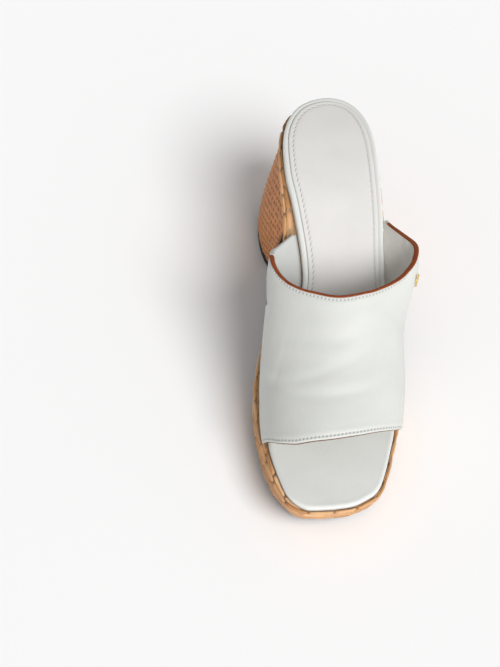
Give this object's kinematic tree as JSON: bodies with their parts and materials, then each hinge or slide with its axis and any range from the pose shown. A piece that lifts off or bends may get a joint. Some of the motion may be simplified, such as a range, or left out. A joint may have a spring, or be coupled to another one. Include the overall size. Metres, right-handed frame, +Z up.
{
  "type": "wedge sandal",
  "caption": "Open-toe backless platform sandal for the left foot, with a wide leather band over the foot, a woven-covered platform and a flared block heel",
  "frame": {"origin": "middle of the footprint's bounding box, on the ground", "axes": "+Z up, +Y from toe to heel, +X towards the outer side of the foot"},
  "size_m": [0.0862, 0.232, 0.0891],
  "materials": {
    "white_leather": "smooth matt-satin",
    "sock_leather": "smooth matt",
    "lining_leather": "suede-like matt",
    "edge_paint": "painted edge, satin",
    "stiffener_cloth": "woven, matt",
    "elastic_leather": "leather-covered elastic, matt",
    "foam": "open-cell foam, matt",
    "fibreboard": "pressed fibreboard, matt",
    "shank_steel": "rolled steel",
    "fixing_steel": "plain steel",
    "cork_core": "pressed cork, matt",
    "woven_raffia": "woven natural strip, satin",
    "sole_rubber": "moulded, matt",
    "heel_plastic": "moulded",
    "gold_metal": "polished gold colour"
  },
  "bodies": {
    "root": {"insole_cover": "white_leather", "insole_foam": "foam", "insole_board": "fibreboard", "sock_lining": "sock_leather", "sole_wrap": "woven_raffia", "platform_core": "cork_core", "outsole": "sole_rubber", "heel_wrap": "woven_raffia", "heel_block": "heel_plastic", "heel_breast_cover": "sole_rubber", "heel_top_lift": "sole_rubber", "heel_screw": "fixing_steel", "heel_nail_1": "fixing_steel", "heel_nail_2": "fixing_steel", "heel_nail_3": "fixing_steel", "heel_nail_4": "fixing_steel", "shank": "shank_steel", "shank_rivet_front": "fixing_steel", "shank_rivet_rear": "fixing_steel", "top_lift_pin_1": "fixing_steel", "top_lift_pin_2": "fixing_steel", "vamp_lining": "lining_leather", "vamp_stiffener": "stiffener_cloth", "vamp_outer": "white_leather", "medial_gore": "elastic_leather", "topline_edge": "edge_paint", "front_edge": "edge_paint", "gore_edge": "elastic_leather", "ornament": "gold_metal", "ornament_pin_1": "gold_metal", "ornament_pin_2": "gold_metal"}
  },
  "joints": []
}
